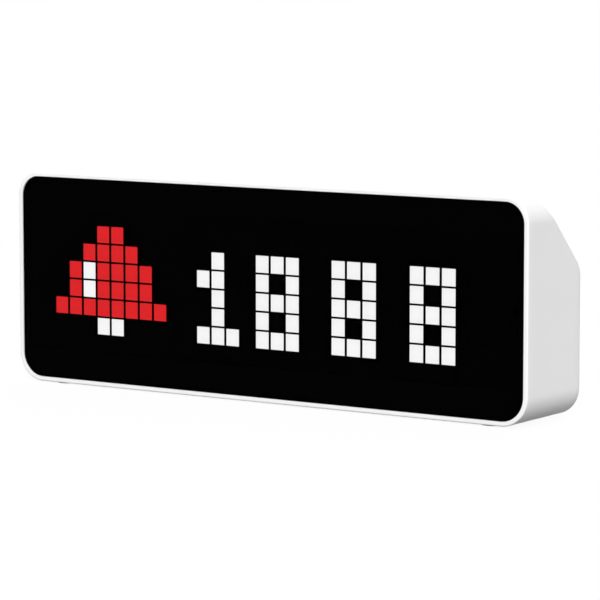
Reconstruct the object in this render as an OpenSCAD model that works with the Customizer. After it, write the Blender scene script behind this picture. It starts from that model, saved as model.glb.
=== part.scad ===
// Desk clock with a matrix of square pixels behind a smoked panel.
// Origin: centre of the footprint at the underside of the feet, front towards -Y, up is +Z.

/* [Case] */
// Width of the case, side to side
body_w = 200; // [199:0.5:220]
// Height of the case without its feet
body_h = 70.8; // [69:0.2:80]
// Depth of the case, front rim to back wall
body_d = 31.8; // [31.4:0.2:40]
// Thickness of the side, top and bottom walls
wall = 1.5; // [1.4:0.1:1.8]
// Thickness of the slanted wall and the back wall
back_wall = 1.8; // [1.4:0.1:2]
// Radius of the upper corners, seen from the front
corner_top_r = 8.3; // [6:0.1:10]
// Radius of the lower corners, seen from the front
corner_bottom_r = 9.5; // [7:0.5:11]
// Bevel around the front rim
rim_bevel = 0.5; // [0.2:0.1:0.8]
// Depth of the flat top in front of the slanted wall
top_d = 8; // [7.6:0.1:9]
// Slope of the slanted wall in degrees
slant = 45; // [42:1:46]
// Outside radius where the slanted wall bends into the back
bend_r = 7; // [4:0.5:9]

/* [Display] */
// Distance from one column of pixels to the next
pixel_pitch = 5.9; // [5:0.05:7]
// Distance from one row of pixels to the next
row_pitch = 6.15; // [5:0.05:7]
// Thickness of the grid wall between two columns of pixels
pixel_wall = 0.85; // [0.3:0.05:1]
// Thickness of the grid wall between two rows of pixels
row_wall = 0.6; // [0.3:0.05:1]
// Clearance around a pixel window in its cell
window_clear = 0.05; // [0.02:0.01:0.1]
// Thickness of a pixel window
window_t = 0.8; // [0.5:0.1:1.2]
// How far the panel lies behind the rim
panel_recess = 0.3; // [0.1:0.05:0.6]
// Thickness of the smoked panel
panel_t = 1.5; // [1:0.1:1.6]
// Clearance between the panel and the rim
panel_clear = 0.1; // [0.05:0.01:0.2]
// Thickness of the tape behind the panel
tape_t = 0.2; // [0.1:0.05:0.3]
// Width of a tape strip
tape_w = 5; // [3:0.5:5.5]
// Length of a tape strip
tape_l = 168; // [120:1:168]
// Depth of the light grid, front to back
grid_depth = 5; // [4.8:0.1:5.2]
// Outer frame of the light grid around the pixels
grid_frame = 0.6; // [0.4:0.05:0.6]
// Thickness of the grid's flange
flange_t = 1.5; // [1.3:0.1:1.6]
// Clearance of the grid and the boards to the side walls
side_clear = 0.1; // [0.05:0.01:0.2]
// Gap above and below the flange and the matrix board
band_gap = 2.4; // [2.3:0.1:3]
// Thickness of the matrix board
board_t = 1.6; // [1.2:0.1:1.8]
// Side of an LED package
led_side = 2; // [1.5:0.1:3]
// Height of an LED package
led_h = 0.8; // [0.5:0.1:1.2]
// Width and height of the light sensor
sensor_side = 1.6; // [1.2:0.1:2]
// Thickness of the light sensor
sensor_t = 0.7; // [0.5:0.1:1]
// Free space around the light sensor in the flange
sensor_clear = 0.5; // [0.3:0.1:0.6]

/* [Display screws] */
// Distance of the screws from the side of the case
display_screw_in = 12; // [11:0.5:13]
// Distance of the screws from the top and the bottom of the case
display_screw_up = 7; // [6.6:0.1:7.4]
// Head diameter
display_head_d = 4.4; // [4:0.1:4.6]
// Head height
display_head_t = 1.1; // [0.9:0.1:1.2]
// Shank diameter
display_shank_d = 2.2; // [2:0.1:2.4]
// Shank length below the head
display_shank_l = 9; // [8.5:0.1:9.2]

/* [Buttons] */
// Length of a top button
button_l = 12; // [9:0.5:16]
// Depth of a top button, front to back
button_w = 3.6; // [3:0.1:3.8]
// Depth of the button centres behind the front rim
button_in = 4.9; // [4.8:0.1:5]
// Distance between neighbouring top buttons
button_pitch = 22; // [20:1:28]
// How far a button stands above the top
button_proud = 0.6; // [0.6:0.1:1.2]
// Travel of a top button
button_travel = 0.5; // [0.3:0.1:0.5]
// Clearance of a button in its hole
button_clear = 0.15; // [0.1:0.01:0.25]
// Length of the lip that keeps a button in, at each end
lip_l = 1.5; // [1:0.1:2.5]
// Thickness of that lip
lip_t = 1; // [0.8:0.1:1.2]
// Gap between the lip and the wall
lip_gap = 0.1; // [0.05:0.01:0.2]
// Height of the raised sign on a button
sign_t = 0.15; // [0.1:0.05:0.3]
// Size of the raised sign on a button
sign_l = 2.2; // [1.5:0.1:2.6]
// Width of a switch body
switch_w = 6.2; // [5:0.1:7]
// Depth of a switch body on its board
switch_d = 3.3; // [3.2:0.1:3.4]
// Height of a switch body
switch_h = 3.6; // [3.2:0.1:3.8]
// Width of a switch plunger
plunger_w = 2.6; // [2:0.1:3]
// Thickness of a switch plunger
plunger_t = 1.4; // [1.2:0.1:1.6]
// Length of the plunger that stands out of its body
plunger_out = 1.2; // [1:0.1:1.3]
// Length of the plunger inside its body
plunger_in = 0.8; // [0.6:0.1:1]
// Clearance of a plunger in its body
plunger_clear = 0.1; // [0.05:0.01:0.12]
// Gap between a button's stem and the plunger below it
stem_gap = 0.05; // [0.02:0.01:0.1]

/* [Power button] */
// Distance of the power button from the board's right end
power_x = 32; // [30:1:38]
// Diameter of the power button
power_d = 6; // [5:0.1:6.5]
// How far the power button lies behind the back face
power_recess = 0.2; // [0.1:0.05:0.4]
// Travel of the power button
power_travel = 0.5; // [0.3:0.1:0.5]
// Extra radius of the flange that keeps the power button in
power_lip = 1; // [0.8:0.1:1.2]
// Side of the power switch body
power_body = 6; // [5:0.1:6.5]
// Height of the power switch body on its board
power_body_h = 3.8; // [3.4:0.1:4]
// Diameter of the power switch plunger
power_plunger_d = 3; // [2.5:0.1:3.2]

/* [Main board] */
// Length of the main board
main_w = 124; // [120:1:130]
// Height of the main board
main_h = 25; // [25:0.5:26]
// Height of the board's lower edge above the floor of the case
main_up = 22.8; // [22.6:0.1:23.4]
// Height of the socket and the power button above the board's lower edge
port_up = 6; // [5.5:0.1:7]
// Length of the posts that carry the board
post_l = 7.8; // [7.6:0.1:8]
// Diameter of the posts
post_d = 6; // [5:0.1:6.4]
// Distance of the posts from the board's ends
post_in_x = 5; // [4:0.1:5.5]
// Distance of the posts from the board's long edges
post_in_z = 3.5; // [3.4:0.1:4]
// Head diameter of the board screws
main_head_d = 3.6; // [3.2:0.1:4]
// Head height of the board screws
main_head_t = 1.4; // [1.2:0.1:1.8]
// Shank diameter of the board screws
main_shank_d = 1.8; // [1.6:0.1:2]
// Shank length of the board screws
main_shank_l = 7; // [5:0.1:7.5]
// Radius clearance of every screw in its hole
screw_clear = 0.1; // [0.05:0.01:0.15]

/* [Main board parts] */
// Length of the radio module
radio_w = 25.5; // [24:0.5:26]
// Height of the radio module
radio_h = 18; // [16:0.5:18]
// Thickness of the radio module's own board
radio_t = 0.8; // [0.6:0.1:1]
// Thickness of the radio module's shield
shield_t = 2.4; // [2:0.1:3]
// Length of the shield, the rest is the aerial
shield_w = 17.6; // [15:0.2:18]
// Rim of module board left around the shield
shield_in = 1; // [0.6:0.1:1.4]
// Distance of the radio module from the board's left end
radio_x = 36; // [32:1:37]
// Diameter of the buzzer
buzzer_d = 12; // [9:0.5:12]
// Height of the buzzer
buzzer_h = 6; // [5:0.1:6.5]
// Distance of the buzzer from the board's left end
buzzer_x = 28; // [26:1:32]
// Side of the climate sensor
climate_side = 3; // [2:0.1:3.5]
// Thickness of the climate sensor
climate_t = 1.1; // [0.8:0.1:1.4]
// Distance of the climate sensor from the board's left end
climate_x = 13; // [12:0.5:16]
// Length of a chip
chip_l = 5; // [4:0.1:6]
// Height of a chip
chip_h = 4; // [3:0.1:4.5]
// Thickness of a chip
chip_t = 1.5; // [1:0.1:1.8]

/* [Ports and openings] */
// Distance of the socket from the board's right end
usb_x = 16; // [15:0.5:19]
// Width of the socket shell
usb_w = 8.94; // [8.9:0.01:9]
// Height of the socket shell
usb_h = 3.26; // [3.2:0.01:3.3]
// Thickness of the socket shell
usb_shell_t = 0.3; // [0.2:0.05:0.35]
// Width of the tongue
usb_tongue_w = 6.7; // [6.4:0.1:6.9]
// Thickness of the tongue
usb_tongue_t = 0.7; // [0.6:0.05:0.8]
// How far the tongue ends inside the mouth
usb_tongue_in = 0.7; // [0.5:0.1:1]
// Length of the plastic base inside the shell
usb_base_l = 2; // [1:0.1:2.5]
// Clearance of the shell in the back wall
usb_clear = 0.2; // [0.1:0.05:0.3]
// Depth of the recess around the socket
usb_recess = 0.8; // [0.5:0.1:1]
// Margin of the recess around the socket shell
usb_margin = 1.8; // [1.5:0.1:2.2]
// Diameter of a sound hole
sound_d = 1.4; // [1:0.1:1.6]
// Distance between sound holes
sound_pitch = 3; // [2.6:0.1:3.4]
// Width of a vent slot
vent_w = 1.4; // [1:0.1:1.6]
// Height of a vent slot
vent_h = 9; // [6:0.5:10]
// Distance between vent slots
vent_pitch = 2.8; // [2.4:0.1:3]
// Number of vent slots
vent_count = 5; // [3:1:5]

/* [Battery] */
// Diameter of a battery cell
cell_d = 18.4; // [17.5:0.1:18.4]
// Length of a battery cell
cell_l = 65.2; // [60:0.1:65.5]
// Gap between the two cells
cell_gap = 1.4; // [1:0.1:2]
// Clearance of the cells in the tray
cell_clear = 0.05; // [0.02:0.01:0.1]
// Space between the matrix board and the cells
battery_gap = 1.2; // [1:0.1:1.3]
// Thickness of the tray floor
tray_t = 0.8; // [0.6:0.1:1]
// Height of the tray's saddles above its floor
saddle_h = 5.5; // [4:0.1:6]
// Thickness of a saddle
saddle_t = 2; // [1.2:0.1:2.5]
// Gap between a cell's outer end and the tray's end wall
end_gap = 0.3; // [0.2:0.1:0.5]
// Thickness of the tray's end wall
end_t = 1.5; // [1.2:0.1:1.6]
// Length of a tray ear
ear_l = 10; // [9:0.1:11]
// Height of a tray ear
ear_h = 14; // [12:0.1:15]
// Thickness of a tray ear
ear_t = 1.6; // [1.2:0.1:2]
// Width of a strap
strap_w = 8; // [6:0.5:10]
// Thickness of a strap
strap_t = 0.5; // [0.4:0.05:0.6]
// Head diameter of the tray screws
tray_head_d = 4.4; // [4:0.1:4.8]
// Head height of the tray screws
tray_head_t = 1.6; // [1.2:0.1:2]
// Shank diameter of the tray screws
tray_shank_d = 2.2; // [2:0.1:2.4]
// Shank length of the tray screws
tray_shank_l = 8; // [6:0.1:9]

/* [Leads] */
// Diameter of a battery wire
wire_d = 1.3; // [1:0.1:1.4]
// Width of the battery plug
plug_w = 7.5; // [7:0.1:8]
// Height of the battery plug
plug_h = 6; // [5:0.1:6.5]
// Depth of the battery plug on its board
plug_d = 6; // [5.8:0.1:6.4]
// Distance of the plug from the board's right end
plug_x = 15; // [14:0.5:16]
// Height of the plug above the board's lower edge
plug_up = 1; // [0.5:0.1:2]
// Distance between the two wires at the plug
wire_pitch = 2.5; // [2.4:0.1:2.8]
// Distance of the wires in front of the main board
wire_in = 3.3; // [3:0.1:3.6]
// Height of the wires over the straps
wire_over = 0.2; // [0.1:0.1:1]
// Distance of a wire from the end face of its cell
wire_out = 1.8; // [1.6:0.1:2.4]
// Width of the display ribbon
ribbon_w = 12; // [10:0.5:13]
// Thickness of the display ribbon
ribbon_t = 0.3; // [0.2:0.05:0.4]
// Distance of the ribbon from the middle, towards +X
ribbon_x = 6; // [2:0.5:8]
// Depth of a ribbon socket on its board
ribbon_socket_d = 2.2; // [2:0.1:2.6]
// Height of a ribbon socket
ribbon_socket_h = 5; // [4:0.1:6]
// Extra width of a ribbon socket at each end
ribbon_socket_end = 1; // [0.8:0.1:1.5]
// Clearance of the ribbon in its socket
ribbon_clear = 0.1; // [0.05:0.01:0.15]
// Height of the ribbon's straight part above its sockets
ribbon_rise = 2; // [1:0.1:4]
// How far the ribbon goes into its socket
ribbon_in = 2.5; // [2:0.1:3]

/* [Feet] */
// Diameter of a foot
foot_d = 8; // [6:0.5:9]
// Thickness of a foot
foot_t = 1.2; // [1:0.1:1.4]
// How far a foot stands below the case
foot_proud = 0.6; // [0.4:0.1:0.8]
// Clearance of a foot in its recess
foot_clear = 0.1; // [0.05:0.01:0.15]
// Distance of the feet from the side of the case
foot_in_x = 16; // [15:0.5:25]
// Distance of the feet from the front and the back
foot_in_y = 6.4; // [5.5:0.1:8]

/* [Hidden] */
$fn = 48;
cut = 1;

// Colours
white_plastic = [0.95, 0.95, 0.94];
smoke = [0.02, 0.02, 0.02];
black_plastic = [0.05, 0.05, 0.055];
board_green = [0.05, 0.22, 0.12];
board_black = [0.06, 0.06, 0.07];
steel = [0.72, 0.72, 0.74];
chip_black = [0.08, 0.08, 0.09];
lit_white = [0.96, 0.96, 0.96];
lit_red = [0.9, 0.13, 0.15];
cell_blue = [0.12, 0.35, 0.6];

// Reference planes
front_y = -body_d / 2;
back_y = body_d / 2;
base_z = foot_proud;
top_z = base_z + body_h;
mid_z = base_z + body_h / 2;
floor_z = base_z + wall;
ceiling_z = top_z - wall;
inner_w = body_w - 2 * wall;
inner_back_y = back_y - back_wall;

// Depths of the display stack
panel_y = front_y + panel_recess;
tape_y = panel_y + panel_t;
grid_y = tape_y + tape_t;
flange_back_y = grid_y + flange_t;
board_y = grid_y + grid_depth;
board_back_y = board_y + board_t;
band_h = body_h - 2 * wall - 2 * band_gap;
band_z = floor_z + band_gap;

// As many pixels as fit beside the light sensor and between the display screws
head_clear = 0.2;
spacer_wall = 0.3;
spacer_d = display_head_d + 2 * (head_clear + spacer_wall);
sensor_wall = 0.2;
sensor_room = sensor_side + 2 * (sensor_clear + sensor_wall);
pixel_cols = floor((inner_w - 2 * (side_clear + grid_frame) - sensor_room) / pixel_pitch);
pixel_rows = floor((body_h - 2 * display_screw_up - spacer_d - 2 * grid_frame) / row_pitch);

// The matrix stands against the left wall, the right margin holds the light sensor
cell_w = pixel_pitch - pixel_wall;
cell_h = row_pitch - row_wall;
window_w = cell_w - 2 * window_clear;
window_h = cell_h - 2 * window_clear;
matrix_w = pixel_cols * pixel_pitch;
matrix_h = pixel_rows * row_pitch;
matrix_left = -inner_w / 2 + side_clear + grid_frame;
matrix_top = mid_z + matrix_h / 2;
sensor_x = (matrix_left + matrix_w + grid_frame + inner_w / 2) / 2;
display_screw_x = body_w / 2 - display_screw_in;
display_screw_z = body_h / 2 - display_screw_up;

// Top buttons and their switches
button_y = front_y + button_in;
lip_top_z = ceiling_z - lip_gap;
lip_bottom_z = lip_top_z - lip_t;
stem_room = 0.3;
stem_bottom_z = lip_bottom_z - button_travel - stem_room;
plunger_top_z = stem_bottom_z - stem_gap;
switch_top_z = plunger_top_z - plunger_out;
button_shift = [-button_pitch, 0, button_pitch];

// Main board: on its posts, and in front of the slanted wall at its upper edge
main_z = floor_z + main_up;
main_top_z = main_z + main_h;
slant_room = 1.5;
slant_y = front_y + top_d - back_wall / sin(slant) + (wall + ceiling_z - main_top_z) / tan(slant);
main_back_y = min(inner_back_y - post_l, slant_y - slant_room);
main_front_y = main_back_y - board_t;
main_mid_z = main_z + main_h / 2;
port_z = main_z + port_up;
post_x = main_w / 2 - post_in_x;
post_zs = [main_z + post_in_z, main_top_z - post_in_z];
usb_mouth_y = back_y - usb_recess;
power_at = main_w / 2 - power_x;
usb_at = main_w / 2 - usb_x;
plug_at = main_w / 2 - plug_x;
radio_at = radio_x - main_w / 2;
buzzer_at = buzzer_x - main_w / 2;
climate_at = climate_x - main_w / 2;

// Power button
power_face_y = back_y - power_recess;
power_lip_y = inner_back_y - lip_gap;
power_stem_y = power_lip_y - lip_t - power_travel - stem_room;
power_body_y = main_back_y + power_body_h;

// Battery
cell_y = board_back_y + battery_gap + cell_d / 2;
cell_z = floor_z + tray_t + cell_clear + cell_d / 2;
cell_x = (cell_l + cell_gap) / 2;
tray_half = cell_l + cell_gap / 2 + end_gap;
tray_depth = cell_d + 2 * cell_clear + 2 * strap_t;
ear_x = tray_half + end_t + ear_l / 2;
ear_back_y = cell_y + ear_t;
strap_in_r = cell_d / 2 + cell_clear;

end_face_x = cell_x + cell_l / 2;
contact_t = 0.2;
contact_d = cell_d / 3;

// Leads
plug_z = main_z + plug_up;
wire_y = main_front_y - wire_in;
wire_run_z = cell_z + strap_in_r + strap_t + wire_over + wire_d / 2;
wire_drop_x = end_face_x + wire_out;
ribbon_y1 = board_back_y + ribbon_socket_d / 2;
ribbon_y2 = main_front_y - ribbon_socket_d / 2;
ribbon_top_z = main_mid_z + ribbon_socket_h / 2;

// Picture on the display: rows of signs, r is red, w is white, a dot is unlit
bell = ["...rr...", "..rrrr..", ".rwrrrr.", ".rwrrrr.", "rrrrrrrr", "...ww..."];
one = [".w.", "ww.", ".w.", ".w.", "www"];
eight = ["www", "w.w", "www", "w.w", "www"];
picture = [[2, 1, bell], [12, 2, one], [16, 2, eight], [21, 2, eight], [26, 2, eight]];

function in_sign(col, row, sign) =
    col >= sign[0] && col < sign[0] + len(sign[2][0]) && row >= sign[1] && row < sign[1] + len(sign[2]);
function lit(col, row) =
    let (hits = [for (sign = picture) if (in_sign(col, row, sign)) sign[2][row - sign[1]][col - sign[0]]])
    len(hits) == 0 ? "." : hits[0];
function pixel_x(col) = matrix_left + (col + 0.5) * pixel_pitch;
function pixel_z(row) = matrix_top - (row + 0.5) * row_pitch;

// A flat shape in X and Z, given depth from y1 to y2
module along_depth(y1, y2) {
    translate([0, y2, 0])
        rotate([90, 0, 0])
            linear_extrude(y2 - y1)
                children();
}

// A flat shape in Y and Z, given a width around the middle
module along_width(w) {
    translate([-w / 2, 0, 0])
        rotate([90, 0, 90])
            linear_extrude(w)
                children();
}

// A round bar along Y
module bar(d, y1, y2) {
    translate([0, y1, 0])
        rotate([-90, 0, 0])
            cylinder(d = d, h = y2 - y1);
}

// A box from two corners
module box(from, to) {
    translate(from)
        cube(to - from);
}

// A slot shape with round ends
module pill(l, w) {
    square([l - w, w], center = true);
    for (side = [-1, 1])
        translate([side * (l - w) / 2, 0])
            circle(d = w);
}

// Front outline of the case, moved in by a wall
module outline(inset) {
    w = body_w / 2 - inset;
    low = base_z + inset;
    high = top_z - inset;
    rt = corner_top_r - inset;
    rb = corner_bottom_r - inset;
    polygon([[-w + rb, low], [w - rb, low], [w, low + rb], [w, high - rt],
        [w - rt, high], [-w + rt, high], [-w, high - rt], [-w, low + rb]]);
    for (side = [-1, 1]) {
        translate([side * (w - rb), low + rb])
            circle(r = rb);
        translate([side * (w - rt), high - rt])
            circle(r = rt);
    }
}

// Side outline of the case, moved in by its walls: flat top, slanted wall, bend and upright back
module side_outline(low_in, high_in, back_in, front_out) {
    back = back_y - back_in;
    low = base_z + low_in;
    high = top_z - high_in;
    r = bend_r - back_in;
    start = front_y + top_d - back_in / sin(slant) + high_in / tan(slant);
    corner = high - (back - start) * tan(slant);
    reach = r * tan((90 - slant) / 2);
    polygon([[front_y - front_out, low], [back, low], [back, corner - reach],
        [back - reach * cos(slant), corner + reach * sin(slant)], [start, high],
        [front_y - front_out, high]]);
    translate([back - r, corner - reach])
        circle(r = r);
}

// Bevel of the front rim, taken off the straight edges and the corners
module rim_bevel_cut() {
    far = cut + rim_bevel;
    for (side = [-1, 1])
        translate([side * body_w / 2, front_y, mid_z])
            rotate([0, 0, 45])
                cube([rim_bevel * sqrt(2), rim_bevel * sqrt(2), body_h + far], center = true);
    for (z = [base_z, top_z])
        translate([0, front_y, z])
            rotate([45, 0, 0])
                cube([body_w + far, rim_bevel * sqrt(2), rim_bevel * sqrt(2)], center = true);
    for (side = [-1, 1]) {
        corner_bevel(side, 1, corner_top_r, top_z);
        corner_bevel(side, -1, corner_bottom_r, base_z);
    }
}

module corner_bevel(side, up, r, edge_z) {
    translate([side * (body_w / 2 - r), front_y, edge_z - up * r])
        difference() {
            translate([side > 0 ? 0 : -r - cut, -cut, up > 0 ? 0 : -r - cut])
                cube([r + cut, cut + rim_bevel, r + cut]);
            translate([0, -cut, 0])
                rotate([-90, 0, 0])
                    cylinder(r1 = r - rim_bevel - cut, r2 = r, h = rim_bevel + cut);
        }
}

// Places for the four display screws
module display_places() {
    for (side = [-1, 1])
        for (up = [-1, 1])
            translate([side * display_screw_x, 0, mid_z + up * display_screw_z])
                children();
}

// Places for the main board screws
module main_places() {
    for (side = [-1, 1])
        for (z = post_zs)
            translate([side * post_x, 0, z])
                children();
}

// Places for the tray screws
module tray_places() {
    for (side = [-1, 1])
        translate([side * ear_x, 0, cell_z])
            children();
}

// Places for the feet
module foot_places() {
    for (side = [-1, 1])
        for (y = [front_y + foot_in_y, back_y - foot_in_y])
            translate([side * (body_w / 2 - foot_in_x), y, 0])
                children();
}

// Posts inside the case that carry the boards and the tray
module posts() {
    intersection() {
        union() {
            display_places()
                bar(post_d, board_back_y, back_y);
            main_places()
                bar(post_d, main_back_y, back_y);
            tray_places()
                bar(post_d, ear_back_y, back_y);
        }
        along_width(body_w)
            side_outline(wall / 2, wall / 2, back_wall / 2, 0);
    }
}

// Pilot holes in the posts
module pilot_holes() {
    end_room = 0.3;
    display_places()
        bar(display_shank_d + 2 * screw_clear, board_back_y - cut,
            grid_y + display_head_t + display_shank_l + end_room);
    main_places()
        bar(main_shank_d + 2 * screw_clear, main_back_y - cut,
            main_front_y + main_shank_l + end_room);
    tray_places()
        bar(tray_shank_d + 2 * screw_clear, ear_back_y - cut,
            cell_y + tray_shank_l + end_room);
}

// Openings in the back wall: socket, power button, sound holes and vents
module back_openings() {
    out_y = back_y + cut;
    in_y = inner_back_y - cut;
    translate([usb_at, 0, port_z]) {
        along_depth(in_y, out_y)
            pill(usb_w + 2 * usb_clear, usb_h + 2 * usb_clear);
        along_depth(usb_mouth_y, out_y)
            pill(usb_w + 2 * usb_margin, usb_h + 2 * usb_margin);
    }
    translate([power_at, 0, port_z])
        bar(power_d + 2 * button_clear, in_y, out_y);
    translate([buzzer_at, 0, main_mid_z]) {
        bar(sound_d, in_y, out_y);
        for (step = [0:5])
            translate([sound_pitch * cos(60 * step), 0, sound_pitch * sin(60 * step)])
                bar(sound_d, in_y, out_y);
    }
    for (step = [0:vent_count - 1])
        translate([climate_at + (step - (vent_count - 1) / 2) * vent_pitch, 0, main_mid_z])
            along_depth(in_y, out_y)
                rotate([0, 0, 90])
                    pill(vent_h, vent_w);
}

// Case: one moulded shell, open at the front
module housing() {
    color(white_plastic)
        difference() {
            union() {
                difference() {
                    intersection() {
                        along_depth(front_y, back_y)
                            outline(0);
                        along_width(body_w + cut)
                            side_outline(0, 0, 0, cut);
                    }
                    intersection() {
                        along_depth(front_y - cut, back_y)
                            outline(wall);
                        along_width(body_w)
                            side_outline(wall, wall, back_wall, cut);
                    }
                    rim_bevel_cut();
                }
                posts();
            }
            pilot_holes();
            back_openings();
            for (x = button_shift)
                translate([x, button_y, ceiling_z - cut])
                    linear_extrude(wall + 2 * cut)
                        pill(button_l + 2 * button_clear, button_w + 2 * button_clear);
            foot_places()
                translate([0, 0, base_z - cut])
                    cylinder(d = foot_d + 2 * foot_clear, h = foot_t - foot_proud + cut);
        }
}

// Smoked panel behind the rim
module front_panel() {
    color(smoke)
        along_depth(panel_y, tape_y)
            outline(wall + panel_clear);
}

// Tape strips that hold the panel on the grid's flange
module panel_tape() {
    edge_room = 0.5;
    color(black_plastic)
        for (up = [-1, 1])
            translate([0, 0, mid_z + up * (band_h / 2 - edge_room - tape_w / 2)])
                along_depth(tape_y, grid_y)
                    square([tape_l, tape_w], center = true);
}

// The part of the front outline that the flange and the matrix board fill
module band() {
    intersection() {
        outline(wall + side_clear);
        translate([-body_w / 2, band_z])
            square([body_w, band_h]);
    }
}

module matrix_frame() {
    translate([matrix_left - grid_frame, matrix_top - matrix_h - grid_frame])
        square([matrix_w + 2 * grid_frame, matrix_h + 2 * grid_frame]);
}

// Light grid: a cell for each pixel, with a flange and four spacers
module light_grid() {
    color(black_plastic) {
        difference() {
            union() {
                along_depth(grid_y, flange_back_y)
                    difference() {
                        band();
                        matrix_frame();
                        translate([sensor_x, mid_z])
                            square(sensor_side + 2 * sensor_clear, center = true);
                    }
                along_depth(grid_y, board_y)
                    difference() {
                        matrix_frame();
                        for (col = [0:pixel_cols - 1])
                            for (row = [0:pixel_rows - 1])
                                translate([pixel_x(col), pixel_z(row)])
                                    square([cell_w, cell_h], center = true);
                    }
                display_places()
                    bar(spacer_d, grid_y, board_y);
            }
            display_places() {
                bar(display_head_d + 2 * head_clear, grid_y - cut, grid_y + display_head_t);
                bar(display_shank_d + 2 * screw_clear, grid_y, board_y + cut);
            }
        }
    }
}

// Pixel windows of one kind, each in its own cell of the grid
module windows(kind) {
    for (col = [0:pixel_cols - 1])
        for (row = [0:pixel_rows - 1])
            if (lit(col, row) == kind)
                translate([pixel_x(col) - window_w / 2, grid_y, pixel_z(row) - window_h / 2])
                    cube([window_w, window_t, window_h]);
}

module unlit_windows() {
    color(smoke)
        windows(".");
}

module white_windows() {
    color(lit_white)
        windows("w");
}

module red_windows() {
    color(lit_red)
        windows("r");
}

// Matrix board behind the grid
module led_board() {
    color(board_black)
        difference() {
            along_depth(board_y, board_back_y)
                band();
            display_places()
                bar(display_shank_d + 2 * screw_clear, board_y - cut, board_back_y + cut);
        }
}

// One LED behind each pixel window
module matrix_leds() {
    color(lit_white)
        for (col = [0:pixel_cols - 1])
            for (row = [0:pixel_rows - 1])
                translate([pixel_x(col) - led_side / 2, board_y - led_h, pixel_z(row) - led_side / 2])
                    cube([led_side, led_h, led_side]);
}

// Light sensor on the matrix board, beside the pixels
module light_sensor() {
    color(steel)
        translate([sensor_x, 0, mid_z])
            along_depth(board_y - sensor_t, board_y)
                square(sensor_side, center = true);
}

// A screw along Y with a driver slot across its head
module screw(head_d, head_t, shank_d, shank_l) {
    slot_w = head_d / 5;
    difference() {
        union() {
            bar(head_d, 0, head_t);
            bar(shank_d, head_t, head_t + shank_l);
        }
        translate([0, head_t / 4, 0])
            cube([head_d * 2 / 3, head_t / 2, slot_w], center = true);
        translate([0, head_t / 4, 0])
            cube([slot_w, head_t / 2, head_d * 2 / 3], center = true);
    }
}

module display_screws() {
    color(steel)
        display_places()
            translate([0, grid_y, 0])
                screw(display_head_d, display_head_t, display_shank_d, display_shank_l);
}

// A top button: crown, retaining lip and stem, with a raised sign
module top_button(x, sign) {
    color(white_plastic)
        translate([x, button_y, 0]) {
            translate([0, 0, lip_top_z - lip_t / 2])
                linear_extrude(top_z + button_proud - lip_top_z + lip_t / 2)
                    pill(button_l, button_w);
            translate([0, 0, lip_bottom_z])
                linear_extrude(lip_t)
                    pill(button_l + 2 * lip_l, button_w);
            translate([-plunger_w / 2, -plunger_t / 2, stem_bottom_z])
                cube([plunger_w, plunger_t, lip_bottom_z + lip_t / 2 - stem_bottom_z]);
            translate([0, 0, top_z + button_proud - sign_t])
                linear_extrude(2 * sign_t)
                    button_sign(sign);
        }
}

// Raised signs: arrow to the left, ring spot, arrow to the right
module button_sign(sign) {
    if (sign == 0)
        circle(d = sign_l);
    else
        scale(sign_l / 2)
            polygon([[sign, 0], [-sign, 1], [-sign, -1]]);
}

module left_button() {
    top_button(button_shift[0], -1);
}

module select_button() {
    top_button(button_shift[1], 0);
}

module right_button() {
    top_button(button_shift[2], 1);
}

// Plunger of a top switch
module plunger(x) {
    color(chip_black)
        translate([x - plunger_w / 2, button_y - plunger_t / 2, switch_top_z - plunger_in])
            cube([plunger_w, plunger_t, plunger_in + plunger_out]);
}

module left_plunger() {
    plunger(button_shift[0]);
}

module select_plunger() {
    plunger(button_shift[1]);
}

module right_plunger() {
    plunger(button_shift[2]);
}

// Switch bodies on the front of the matrix board, above the pixels
module button_switches() {
    well_w = plunger_w + 2 * plunger_clear;
    well_t = plunger_t + 2 * plunger_clear;
    well_h = plunger_in + button_travel + stem_gap + plunger_clear;
    color(steel)
        for (x = button_shift)
            difference() {
                box([x - switch_w / 2, board_y - switch_d, switch_top_z - switch_h],
                    [x + switch_w / 2, board_y, switch_top_z]);
                box([x - well_w / 2, button_y - well_t / 2, switch_top_z - well_h],
                    [x + well_w / 2, button_y + well_t / 2, switch_top_z + cut]);
            }
}

// Power button in the back wall, with its retaining flange and stem
module power_button() {
    color(white_plastic)
        translate([power_at, 0, port_z]) {
            bar(power_d, power_lip_y - lip_t / 2, power_face_y);
            bar(power_d + 2 * power_lip, power_lip_y - lip_t, power_lip_y);
            bar(power_plunger_d, power_stem_y, power_lip_y - lip_t / 2);
        }
}

module power_plunger() {
    color(chip_black)
        translate([power_at, 0, port_z])
            bar(power_plunger_d, power_body_y - plunger_in, power_stem_y - stem_gap);
}

module power_switch() {
    well_h = plunger_in + power_travel + stem_gap + plunger_clear;
    color(steel)
        translate([power_at, 0, port_z])
            difference() {
                along_depth(main_back_y, power_body_y)
                    square(power_body, center = true);
                bar(power_plunger_d + 2 * plunger_clear, power_body_y - well_h, power_body_y + cut);
            }
}

// Main board on its posts
module main_board() {
    color(board_green)
        difference() {
            box([-main_w / 2, main_front_y, main_z], [main_w / 2, main_back_y, main_top_z]);
            main_places()
                bar(main_shank_d + 2 * screw_clear, main_front_y - cut, main_back_y + cut);
        }
}

module main_screws() {
    color(steel)
        main_places()
            translate([0, main_front_y - main_head_t, 0])
                screw(main_head_d, main_head_t, main_shank_d, main_shank_l);
}

// Radio module: a small board with a shield over its chips
module radio_module() {
    color(board_black)
        translate([radio_at, 0, main_mid_z])
            along_depth(main_front_y - radio_t, main_front_y)
                square([radio_w, radio_h], center = true);
}

module radio_shield() {
    left = radio_at - radio_w / 2 + shield_in;
    color(steel)
        box([left, main_front_y - radio_t - shield_t, main_mid_z - radio_h / 2 + shield_in],
            [left + shield_w, main_front_y - radio_t, main_mid_z + radio_h / 2 - shield_in]);
}

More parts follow.
